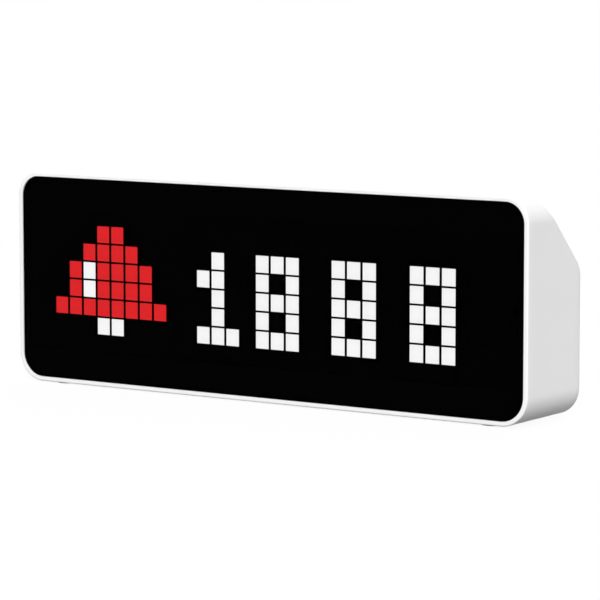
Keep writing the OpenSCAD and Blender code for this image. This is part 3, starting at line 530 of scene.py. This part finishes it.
# fills an outline ring row by row: each row runs straight from its left point to its right point
def filledRing(ring, ringStart, newStart):
    columns = case["columns"]
    rows = len(ring) // 2 - columns + 1
    inner = np.repeat(ring[1:rows - 1, None], columns - 1, 1)
    inner[..., 0] *= between(-1, 1, columns)
    index = np.empty((rows, columns + 1), int)
    index[:, -1] = ringStart + np.arange(rows)
    index[-1, 1:-1] = ringStart + rows + np.arange(columns - 1)[::-1]
    index[:, 0] = ringStart + rows + columns - 1 + np.arange(rows)[::-1]
    index[0, 1:-1] = ringStart + 2 * rows + columns - 1 + np.arange(columns - 1)
    index[1:-1, 1:-1] = newStart + np.arange((rows - 2) * (columns - 1)).reshape(rows - 2, columns - 1)
    quads = np.stack([index[:-1, :-1], index[1:, :-1], index[1:, 1:], index[:-1, 1:]], -1)
    return inner.reshape(-1, 3), quads.reshape(-1, 4)


# closed skin over a chain of outline rings, whose first and last rings are filled
def filledSkin(rings):
    rings = np.stack(rings)
    count, size = rings.shape[:2]
    firstPoints, firstQuads = filledRing(rings[0], 0, count * size)
    lastPoints, lastQuads = filledRing(rings[-1], (count - 1) * size, count * size + len(firstPoints))
    points = np.concatenate([rings.reshape(-1, 3), firstPoints, lastPoints])
    return closedShell(points, np.concatenate([ringQuads(count, size), firstQuads[:, ::-1], lastQuads]))


# from the cavity's rear to the chamfer inside the rim, then over the rim and its rounding
def rimRings(cuts):
    wall, backWall, rimRound, rimEdge = case["wall"], case["backWall"], case["rimRound"], case["rimEdge"]
    mouth, cavityCuts = frontY + rimEdge, bendHeights(wall, backWall)
    rear = rearDepth(outlineRing(wall, 0, cavityCuts)[:, 2], wall, backWall)
    depths = [mouth + (rear - mouth) * share for share in case["cavityShares"]]
    rings = [outlineRing(wall, depth, cavityCuts) for depth in depths] + [outlineRing(wall, mouth, cuts)]
    rings += [outlineRing(inset, frontY, cuts) for inset in (wall - rimEdge, (wall + rimRound) / 2)]
    edge = easedEdge(rimRound, case["rimSteps"])
    return rings + [outlineRing(inward, frontY + depth, cuts) for inward, depth in edge]


# from the rim back along the outside, where the lower corners tighten and the underside rises by its draft,
# and round the rear edge: an arc from wall to rear as ((1-s)^2 A + 2 w s (1-s) P + s^2 B) / its weights
def sideRings(rim, cuts):
    x, z, outX, outZ = outlineLoop(0, cuts, case["rearCorners"], case["draft"])
    edge = np.stack([x, rearDepth(z, 0, 0), z], -1)
    tilt = rearTilt(z)
    wallOut = np.stack([outX, 0 * x, outZ], -1)
    rearOut = np.stack([0 * x, np.cos(tilt), np.sin(tilt)], -1)
    meet = (wallOut * rearOut).sum(1)[:, None]
    turn = np.arccos(np.clip(meet, -1, 1))
    reach, weight = case["rearRound"] * np.tan(turn / 2), np.cos(turn / 2)
    onWall = edge + reach * unit(meet * wallOut - rearOut)
    onRear = edge + reach * unit(meet * rearOut - wallOut)
    rings = [rim * (1 - share) + onWall * share for share in case["sideShares"]]
    for s in case["edgeShares"]:
        a, b, c = (1 - s) ** 2, 2 * s * (1 - s) * weight, s ** 2
        rings.append((a * onWall + b * edge + c * onRear) / (a + b + c))
    return rings


def caseShell():
    cuts = bendHeights(0, 0)
    rings = rimRings(cuts)
    return filledSkin(rings + sideRings(rings[-1], cuts))


# screw posts inside the case, which end inside the rear wall: cover is the wall left behind them
# each kind has its screw head, its bore and its rows above and below the middle of the screws
posts = dict(outside=6.0, cover=0.9, trayEar=1.6, steps=24, display=(4.4, 2.4, (-1, 1)),
             main=(3.6, 2.0, (-1, 1)), tray=(4.4, 2.4, (0,)))


# a post stands half a screw head in from the ends of the screws' box
def postPlaces():
    fronts = dict(display=nodeBox("led_board")[1][1], main=nodeBox("main_board")[1][1],
                  tray=nodeMiddle("left_cell")[1] + posts["trayEar"])
    places = []
    for kind, front in fronts.items():
        head, bore, rows = posts[kind]
        aside, _, top = nodeBox(kind + "_screws")[1] - head / 2
        level = nodeMiddle(kind + "_screws")[2]
        spots = [(side * aside, level + row * (top - level)) for side in (-1, 1) for row in rows]
        places += [(x, z, front, bore) for x, z in spots]
    return places


# tube of rings x + r cos t, z + r sin t: near rings are flat, far rings follow the depth of the rear
def postTubes():
    shells, turn = [], fullTurn(posts["steps"])
    for x, z, front, bore in postPlaces():
        inside, outside = bore / 2, posts["outside"] / 2
        rings = []
        for radius, near in ((inside, False), (inside, True), (outside, True), (outside, False)):
            up = z + radius * np.sin(turn)
            depth = front + 0 * up if near else rearDepth(up, 0, 0) - posts["cover"]
            rings.append(np.stack([x + radius * np.cos(turn), depth, up], -1))
        shells.append(ringSkin(np.stack(rings), tube=True))
    return shells


# feet: turned rubber pads with an eased underside
foot = dict(diameter=8.0, ease=0.35, easeSteps=6, topEase=0.1, steps=48)


# a foot lies half its diameter in from the ends of the feet's box
def footPlaces():
    x, y = nodeBox("feet")[1][:2] - foot["diameter"] / 2
    return [(aside * x, along * y, 0) for aside in (-1, 1) for along in (-1, 1)]


# profile: flat underside, quarter circle, upright side, small chamfer at the top
def footShells():
    low, high = [corner[2] for corner in nodeBox("feet")]
    radius, topEase = foot["diameter"] / 2, foot["topEase"]
    edge = easedEdge(foot["ease"], foot["easeSteps"])
    profile = [(0, low), (radius / 2, low), *((radius - inward, low + depth) for inward, depth in edge)]
    profile += [(radius, high - topEase), (radius - topEase, high), (0, high)]
    return [turnedBar(profile, foot["steps"], "top", place) for place in footPlaces()]


# openings in the case, cut by slot shapes that flare at 45 degrees where they break the surface
# sound: diameter, pitch, holes round the middle one; vents: height, width, pitch, count
# foot: diameter, depth; past is how far a cutter reaches past a wall
openings = dict(flare=0.2, holeFlare=0.15, past=1.0, button=(12.3, 3.9), socketHole=(9.34, 3.66),
                socketEase=0.15, socketRecess=(12.54, 6.86), recessDepth=0.8, recessFlare=0.25, power=6.3,
                sound=(1.4, 3.0, 6), vents=(9.0, 1.4, 2.8, 5), foot=(8.2, 0.6), slotSteps=16, roundSteps=24,
                holeSteps=12)
topKeys = dict(left=-1, select=0, right=1)  # the keys on top and the way that their signs point


# sections of a flared slot that goes into a surface, up where into is 1 and down where it is -1
def flaredCut(surface, into, depth, length, width, flare):
    past = openings["past"]
    wider = 2 * (flare + past)
    return [(surface - into * past, length + wider, width + wider), (surface + into * flare, length, width),
            (surface + into * depth, length, width)]


# slot through the back wall
def backCut(length, width, flare, steps, way, middle):
    through = case["backWall"] + openings["past"]
    return pillBar(flaredCut(backY, -1, through, length, width, flare), steps, way, middle)


def socketCut():
    length, width = openings["socketHole"]
    depth, ease = openings["recessDepth"], openings["socketEase"]
    floor, end = backY - depth, backY - case["backWall"] - openings["past"]
    sections = flaredCut(backY, -1, depth, *openings["socketRecess"], openings["recessFlare"])
    sections += [(floor, length + 2 * ease, width + 2 * ease), (floor - ease, length, width),
                 (end, length, width)]
    return pillBar(sections, openings["roundSteps"], "back", nodeMiddle("usb_shell"))


def soundCuts():
    size, pitch, count = openings["sound"]
    turn = fullTurn(count)
    ring = pitch * np.stack([np.cos(turn), 0 * turn, np.sin(turn)], -1)
    places = nodeMiddle("buzzer") + np.concatenate([np.zeros((1, 3)), ring])
    flare, steps = openings["holeFlare"], openings["holeSteps"]
    return [backCut(size, size, flare, steps, "back", place) for place in places]


def ventCuts():
    height, width, pitch, count = openings["vents"]
    places = [nodeMiddle("climate_sensor") + (aside, 0, 0) for aside in centredRow(count, pitch)]
    flare, steps = openings["holeFlare"], openings["holeSteps"]
    return [backCut(height, width, flare, steps, "backUpright", place) for place in places]


# each opening lies over the piece behind it: key, socket, power button, buzzer, climate sensor or foot
def openingCuts():
    flare, size, steps = openings["flare"], openings["power"], openings["roundSteps"]
    slot = flaredCut(topZ, -1, case["wall"] + openings["past"], *openings["button"], flare)
    cuts = [pillBar(slot, openings["slotSteps"], "top", nodeMiddle(key + "_button")) for key in topKeys]
    cuts += [socketCut(), backCut(size, size, flare, steps, "back", nodeMiddle("power_button"))]
    cuts += soundCuts() + ventCuts()
    size, depth = openings["foot"]
    seat = flaredCut(baseZ, 1, depth, size, size, openings["holeFlare"])
    return cuts + [pillBar(seat, steps, "top", place) for place in footPlaces()]


caseBody = makeMesh("caseBody", [caseShell()])
cutOut(caseBody, makeMesh("openingCutter", openingCuts()))
casePosts = makeMesh("casePosts", postTubes())
finishPiece(caseBody, "whiteSatinPlastic", "clock", ["housing"])
finishPiece(casePosts, "whiteSatinPlastic", "clock")
print("case made:", len(caseBody.data.polygons), "faces")


# smoked panel: the case outline moved in, with eased edges
# cuts are the lowest and the highest of the heights at which its upright edges are cut
panel = dict(gap=0.1, ease=0.15, easeSteps=3, cuts=(30.0, 45.0), cutSteps=5)
panelInset = case["wall"] + panel["gap"]
panelFront, panelRear = [corner[1] for corner in nodeBox("front_panel")]
panelCuts = np.linspace(*panel["cuts"], panel["cutSteps"] + 1)


# outline rings from the front's eased edge to the rear's
def panelShell():
    edge = easedEdge(panel["ease"], panel["easeSteps"])
    sections = [(inward, panelFront + depth) for inward, depth in edge]
    sections += [(inward, panelRear - depth) for inward, depth in edge[::-1]]
    return filledSkin([outlineRing(panelInset + inward, depth, panelCuts) for inward, depth in sections])


# black ink behind the panel and round its edge, with an opening for the pixels and the light sensor:
# the inner rings are the panel's outline clamped to the opening, x and z = clip(x and z, low, high)
mask = dict(front=0.3, rear=0.004, ink=0.03, edge=0.04, margin=0.1)


def maskShell():
    outer, inner = panelInset - mask["edge"], panelInset + mask["ink"]
    front, rear, inkFace = panelFront + mask["front"], panelRear - mask["rear"], panelRear - mask["ink"]
    low, high = nodeBox("unlit_windows")
    high[0] = nodeBox("light_sensor")[1][0]
    flat = [0, 2]
    sections = ((outer, front), (outer, rear), (inner, rear), (inner, inkFace), (inner, inkFace),
                (inner, front))
    rings = np.stack([outlineRing(inset, depth, panelCuts) for inset, depth in sections])
    hole = rings[2:4]
    hole[..., flat] = np.clip(hole[..., flat], low[flat] - mask["margin"], high[flat] + mask["margin"])
    return ringSkin(rings, tube=True)


panelPiece = makeMesh("smokedPanel", [panelShell()])
finishPiece(panelPiece, "smokedAcrylic", "clock", ["front_panel"])
finishPiece(makeMesh("panelMask", [maskShell()]), "maskInk", "clock")
print("panel and mask made")


# top buttons: slot outline with an eased crown, retaining lip, stem and a raised sign
# stemTip is the share of the stem's outline at its tip, signEnd has the steps of the sign's narrowed end
button = dict(length=12.0, width=3.6, ease=0.45, easeSteps=6, crown=0.06, crownSteps=5, steps=20, lip=1.5,
              lipStep=0.02, lipGap=0.1, lipThick=1.0, lipEase=0.15, stem=(2.6, 1.4), stemRound=0.15,
              stemTip=0.94, stemEase=0.08, stemSink=0.4, sign=2.2, signRound=0.18, signSteps=32,
              signSink=0.2, signEnd=((0.06, 1), (0.02, 0.97), (0.0, 0.9)), raised=0.15)


# sign: a triangle that points left or right, or a round dot
def signLoop(way):
    half = button["sign"] / 2
    if way:
        return roundedCorners(np.array([(way, 0), (-way, 1), (-way, -1)]) * half, button["signRound"])
    turn = fullTurn(button["signSteps"])
    return half * np.stack([np.cos(turn), np.sin(turn)], -1)


# crown at inward distance d: top - crown (1 - (d - ease) / (radius - ease))^2, then the eased edge
def buttonShells(node, way):
    low, high = [corner[2] for corner in nodeBox(node)]
    top, middle = high - button["raised"], nodeMiddle(node)
    length, width, ease = button["length"], button["width"], button["ease"]
    radius, edge = width / 2, top - button["crown"]
    inward = np.linspace(radius, ease, button["crownSteps"] + 1)[1:]
    drop = button["crown"] * (1 - (inward - ease) / (radius - ease)) ** 2
    sections = list(zip(top - drop, length - 2 * inward, width - 2 * inward))
    for inward, depth in easedEdge(ease, button["easeSteps"])[1:]:
        sections.append((edge - depth, length - 2 * inward, width - 2 * inward))
    lipTop = topZ - case["wall"] - button["lipGap"]
    lipLow = lipTop - button["lipThick"]
    lip, lipWide, lipEase = length + 2 * button["lip"], width + 2 * button["lipStep"], button["lipEase"]
    sections += [(lipTop, length, width), (lipTop, lip, lipWide), (lipLow + lipEase, lip, lipWide),
                 (lipLow, lip - 2 * lipEase, lipWide - 2 * lipEase)]
    stem = roundedCorners(plateCorners(*button["stem"]), button["stemRound"])
    stemSections = [(low, button["stemTip"]), (low + button["stemEase"], 1),
                    (lipLow + button["stemSink"], 1)]
    signSections = [(top - button["signSink"], 1)] + narrowedEnd(high, button["signEnd"])
    return [pillBar(sections, button["steps"], "top", middle),
            outlineBar(stem, stemSections, "top", middle),
            outlineBar(signLoop(way), signSections, "top", middle)]


for key, way in topKeys.items():
    piece = makeMesh(key + "Button", buttonShells(key + "_button", way))
    finishPiece(piece, "whiteSatinPlastic", key + "_key", [key + "_button"])
print("top buttons made")


# power button: turned cap with a shallow dish, and a raised ring, open at the top, and bar on it
# ringEnds are in degrees, line is half the width of the raised lines and lift their height to it
power = dict(diameter=6.0, ease=0.35, easeSteps=5, dish=0.22, dishSteps=7, steps=64, lip=1.0, lipGap=0.1,
             lipThick=1.0, stem=3.0, stemEase=0.1, ring=1.15, ringEnds=(125, 415), ringSteps=48, bar=0.9,
             barSteps=8, line=0.16, lift=0.6, lineSides=10)


# flat bead along a path: path + line (cos t side + lift sin t up), drawn to a point at both ends
def beadAlong(path):
    along = np.gradient(path, axis=0)
    side = unit(np.stack([along[:, 1], -along[:, 0], 0 * along[:, 2]], -1))
    up = np.array([0.0, 0.0, power["lift"]])
    thick = np.full((len(path), 1, 1), power["line"])
    thick[[0, -1]] = 0.0
    turn = fullTurn(power["lineSides"])[:, None]
    return path[:, None] + thick * (np.cos(turn) * side[:, None] + np.sin(turn) * up)


# dish at radius r: face - dish (1 - (r / flat)^2), flat being the radius inside the eased edge
def powerShells():
    (_, end, _), (_, face, _) = nodeBox("power_button")
    radius, ease, middle = power["diameter"] / 2, power["ease"], nodeMiddle("power_button")
    flat = radius - ease

    def level(r):
        return face - power["dish"] * (1 - (r / flat) ** 2)

    across = np.linspace(0, flat, power["dishSteps"] + 1)
    edge = easedEdge(ease, power["easeSteps"])[1:]
    profile = [*zip(across, level(across)), *((radius - inward, face - depth) for inward, depth in edge)]
    lip, lipTop = radius + power["lip"], backY - case["backWall"] - power["lipGap"]
    stem, stemEase, lipLow = power["stem"] / 2, power["stemEase"], lipTop - power["lipThick"]
    profile += [(radius, lipTop), (lip, lipTop), (lip, lipLow), (stem, lipLow), (stem, end + stemEase),
                (stem - stemEase, end), (0, end)]
    ring, half = power["ring"], power["bar"] / 2
    arc = np.radians(np.linspace(*power["ringEnds"], power["ringSteps"] + 1))
    openRing = np.stack([ring * np.cos(arc), ring * np.sin(arc), level(ring) + 0 * arc], -1)
    up = np.linspace(ring - half, ring + half, power["barSteps"] + 1)
    bar = np.stack([0 * up, up, level(up)], -1)
    beads = [ringSkin(facing(beadAlong(path), "back", middle)) for path in (openRing, bar)]
    return [turnedBar(profile, power["steps"], "back", middle), *beads]


powerPiece = makeMesh("powerButton", powerShells())
finishPiece(powerPiece, "whiteSatinPlastic", "power_key", ["power_button"])
print("power button made")


# charging socket: drawn shell with a rolled mouth, tongue with contacts
# tongueEnd and contactEnd are steps of a narrowed end: drop below the end, share of the outline
socket = dict(length=8.94, width=3.26, sheet=0.3, steps=20, mouthSteps=8, rearRing=1.0, tongue=(6.7, 0.7),
              tongueGap=0.02, tongueSeat=2.0, tongueEase=0.15, tongueRound=0.12, tongueStart=1.0,
              tongueEnd=((0.15, 1), (0.04, 0.98), (0.0, 0.94)), contacts=12, contactPitch=0.5,
              contact=(0.26, 0.08), contactSunk=0.01, contactStart=2.2, contactEnd=((0.5, 1), (0.4, 0.7)))


# slot outline that runs up the outside, over the half round of the mouth and down the inside of the sheet
def socketShell():
    (_, rear, _), (_, mouth, _) = nodeBox("usb_shell")
    length, width, half = socket["length"], socket["width"], socket["sheet"] / 2
    inner = rear + socket["rearRing"]
    turn = np.linspace(0, math.pi, socket["mouthSteps"] + 1)
    insets = [0.0, 0.0, *(half * (1 - np.cos(turn))), socket["sheet"], socket["sheet"]]
    depths = [rear, inner, *(mouth - half + half * np.sin(turn)), inner, rear]
    rings = [pillRing(depth, length - 2 * inset, width - 2 * inset, socket["steps"])
             for inset, depth in zip(insets, depths)]
    return ringSkin(facing(np.stack(rings), "back", nodeMiddle("usb_shell")), tube=True)


# base that fills the rear of the shell, and a rounded plate that stands out of it
def tongueShells():
    (_, rear, _), (_, tip, _) = nodeBox("usb_tongue")
    middle, inside = nodeMiddle("usb_tongue"), socket["sheet"] + socket["tongueGap"]
    length, width = socket["length"] - 2 * inside, socket["width"] - 2 * inside
    seat, ease = rear + socket["tongueSeat"], socket["tongueEase"]
    base = [(rear, length, width), (seat - ease, length, width),
            (seat, length - 2 * ease, width - 2 * ease)]
    plate = roundedCorners(plateCorners(*socket["tongue"]), socket["tongueRound"])
    sections = [(rear + socket["tongueStart"], 1)] + narrowedEnd(tip, socket["tongueEnd"])
    return [pillBar(base, socket["steps"], "back", middle), outlineBar(plate, sections, "back", middle)]


# contact strips: low bars on both faces of the tongue, one after the other along x
def contactShells():
    (_, rear, _), (_, tip, _) = nodeBox("usb_tongue")
    middle, strip = nodeMiddle("usb_tongue"), plateCorners(*socket["contact"])
    sections = [(rear + socket["contactStart"], 1)] + narrowedEnd(tip, socket["contactEnd"])
    face = socket["tongue"][1] / 2 - socket["contactSunk"]
    return [outlineBar(strip, sections, "back", middle + (aside, 0, side * face))
            for aside in centredRow(socket["contacts"], socket["contactPitch"]) for side in (-1, 1)]


finishPiece(makeMesh("socketShell", [socketShell()]), "brightSteel", "clock", ["usb_shell"])
finishPiece(makeMesh("socketTongue", tongueShells()), "chipMoulding", "clock", ["usb_tongue"])
finishPiece(makeMesh("socketContacts", contactShells()), "contactGold", "clock")
print("charging socket made")


finishPiece(makeMesh("rubberFeet", footShells()), "footRubber", "clock", ["feet"])
print("feet made")


# carried-over nodes keep their shape and get their finishes
insides = dict(
    whiteWindowLit=["white_windows"], redWindowLit=["red_windows"], unlitWindowSmoke=["unlit_windows"],
    blackMatrixPlastic=["light_grid", "panel_tape", "battery_tray", "battery_straps", "black_wire"],
    matrixBoardMask=["led_board", "radio_module"], mainBoardMask=["main_board"], ledPackage=["matrix_leds"],
    chipMoulding=["light_sensor", "left_plunger", "select_plunger", "right_plunger", "power_plunger",
                  "buzzer", "clock_chip", "charger_chip", "serial_chip", "climate_sensor",
                  "ribbon_sockets"],
    brightSteel=["button_switches", "power_switch", "main_screws", "radio_shield", "cell_link",
                 "tray_screws"],
    blackedSteel=["display_screws"], cellWrapFilm=["left_cell", "right_cell"], redLeadSleeve=["red_wire"],
    ribbonFilm=["battery_plug", "display_ribbon"],
)
for finish, inner in insides.items():
    for node in inner:
        for place in nodes[node].material_slots:
            place.material = finishes[finish]
print("inside finishes set:", sum(map(len, insides.values())))


# stage: pale floor that keeps a soft shadow, white all round for the camera
# size and drop, the floor's place under the feet, are in millimetres
stageSpec = dict(white=(1, 1, 1, 1), bounce=0.12, shadowShare=0.06, sky=0.56, size=6000, drop=0.02)


# mixes two shaders: the second is for camera, mirror and see-through rays, which see the white background
def seenMix(tree, unseen, seen):
    path = addNode(tree, "ShaderNodeLightPath").outputs
    mirrored = mathPair(tree, "MAXIMUM", path["Is Camera Ray"], path["Is Glossy Ray"])
    mix = addNode(tree, "ShaderNodeMixShader")
    tree.links.new(mathPair(tree, "MAXIMUM", mirrored, path["Is Transmission Ray"]), mix.inputs["Fac"])
    tree.links.new(unseen.outputs[0], mix.inputs[1])
    tree.links.new(seen.outputs[0], mix.inputs[2])
    return mix.outputs[0]


def floorPaper():
    material, tree, shader = newFinish("paleFloorPaper")
    tree.nodes.remove(shader)
    lit = addNode(tree, "ShaderNodeBsdfDiffuse", Color=stageSpec["white"])
    glow = addNode(tree, "ShaderNodeEmission", Strength=1.0)
    seen = addNode(tree, "ShaderNodeMixShader", Fac=1 - stageSpec["shadowShare"])
    tree.links.new(lit.outputs[0], seen.inputs[1])
    tree.links.new(glow.outputs[0], seen.inputs[2])
    unseen = addNode(tree, "ShaderNodeBsdfDiffuse", Color=(*grey(stageSpec["bounce"]), 1))
    tree.links.new(seenMix(tree, unseen, seen), tree.nodes["Material Output"].inputs["Surface"])
    return material


def paleFloor():
    corners = np.insert(plateCorners(stageSpec["size"], stageSpec["size"]), 2, -stageSpec["drop"], axis=1)
    mesh = bpy.data.meshes.new("paleFloor")
    mesh.from_pydata((corners * millimetre).tolist(), [], [(0, 1, 2, 3)])
    mesh.materials.append(floorPaper())
    floor = bpy.data.objects.new("paleFloor", mesh)
    bpy.context.scene.collection.objects.link(floor)


def studioSky():
    world = bpy.data.worlds.new("studioWhite")
    world.use_nodes = True
    tree = world.node_tree
    tree.nodes.clear()
    ambient = addNode(tree, "ShaderNodeBackground", Color=stageSpec["white"], Strength=stageSpec["sky"])
    backdrop = addNode(tree, "ShaderNodeBackground", Color=stageSpec["white"], Strength=1.0)
    out = addNode(tree, "ShaderNodeOutputWorld")
    tree.links.new(seenMix(tree, ambient, backdrop), out.inputs["Surface"])
    bpy.context.scene.world = world


# lamps: a wide key from the front right and above, a weak one from behind
# a strength of 1 lights a facing surface to its own colour, spread is in degrees
lamps = dict(key=dict(towards=(0.475, -0.70, 0.42), strength=0.944, spread=25),
             rear=dict(towards=(-0.45, 0.85, 0.15), strength=0.35, spread=40))


def studioLamps():
    for name, spec in lamps.items():
        lamp = bpy.data.lights.new(name + "Lamp", "SUN")
        lamp.energy = spec["strength"] * math.pi
        lamp.angle = math.radians(spec["spread"])
        lampObject = bpy.data.objects.new(name + "Lamp", lamp)
        lampObject.rotation_euler = Vector(spec["towards"]).to_track_quat("Z", "Y").to_euler()
        bpy.context.scene.collection.objects.link(lampObject)


# camera: the photograph's station in millimetres, its turn and dip in degrees, its focal length and image
# width in pixels, the sensor's width in millimetres and the clipping distances in metres
station = dict(place=(602.2, -859.6, 150.4), yaw=34.805, pitch=6.413, focal=3246.7, image=600, sensor=36.0,
               clip=(0.01, 50))


def photoCamera():
    yaw, pitch = math.radians(station["yaw"]), math.radians(station["pitch"])
    behind = Vector((math.sin(yaw) * math.cos(pitch), -math.cos(yaw) * math.cos(pitch), math.sin(pitch)))
    across = Vector((math.cos(yaw), math.sin(yaw), 0))
    lens = bpy.data.cameras.new("photoCamera")
    lens.sensor_fit, lens.sensor_width = "HORIZONTAL", station["sensor"]
    lens.lens = station["focal"] * station["sensor"] / station["image"]
    lens.clip_start, lens.clip_end = station["clip"]
    camera = bpy.data.objects.new("photoCamera", lens)
    turned = Matrix((across, behind.cross(across), behind)).transposed().to_4x4()
    turned.translation = Vector(station["place"]) * millimetre
    camera.matrix_world = turned
    bpy.context.scene.collection.objects.link(camera)
    bpy.context.scene.camera = camera


paleFloor()
studioSky()
studioLamps()
photoCamera()
bpy.context.scene.view_settings.view_transform = "Standard"
print("stage, lamps and camera set")
